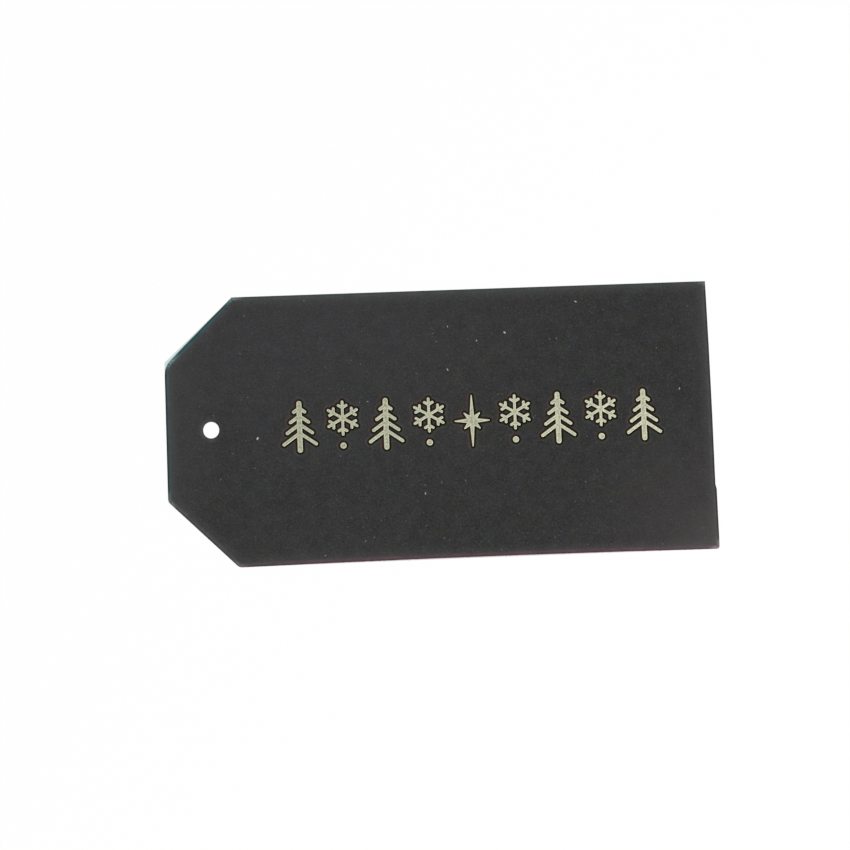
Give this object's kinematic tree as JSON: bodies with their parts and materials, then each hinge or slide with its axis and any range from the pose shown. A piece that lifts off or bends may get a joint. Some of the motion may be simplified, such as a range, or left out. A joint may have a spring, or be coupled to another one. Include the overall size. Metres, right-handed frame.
{
  "type": "gift tag",
  "caption": "Black paper gift tag with two cut corners, a punched string hole and a row of pale gold foil firs, snow flakes and a star stamped into its face.",
  "frame": {"origin": "under the middle of the tag, on the surface that its back lies on", "axes": "+X along the tag from the punched end to the square end, +Y across it, +Z out of the stamped face"},
  "size_m": [0.1, 0.0494, 0.0004],
  "materials": {
    "black_paper": "matte",
    "pale_card": "matte",
    "paste": "matte",
    "gold_foil": "satin"
  },
  "bodies": {
    "root": {"back_sheet": "pale_card", "paste_film": "paste", "front_sheet": "black_paper", "foil_star_1": "gold_foil", "foil_fir_1": "gold_foil", "foil_fir_2": "gold_foil", "foil_fir_3": "gold_foil", "foil_fir_4": "gold_foil", "foil_flake_1": "gold_foil", "foil_flake_2": "gold_foil", "foil_flake_3": "gold_foil", "foil_flake_4": "gold_foil", "foil_dot_1": "gold_foil", "foil_dot_2": "gold_foil", "foil_dot_3": "gold_foil", "foil_dot_4": "gold_foil"}
  },
  "joints": []
}
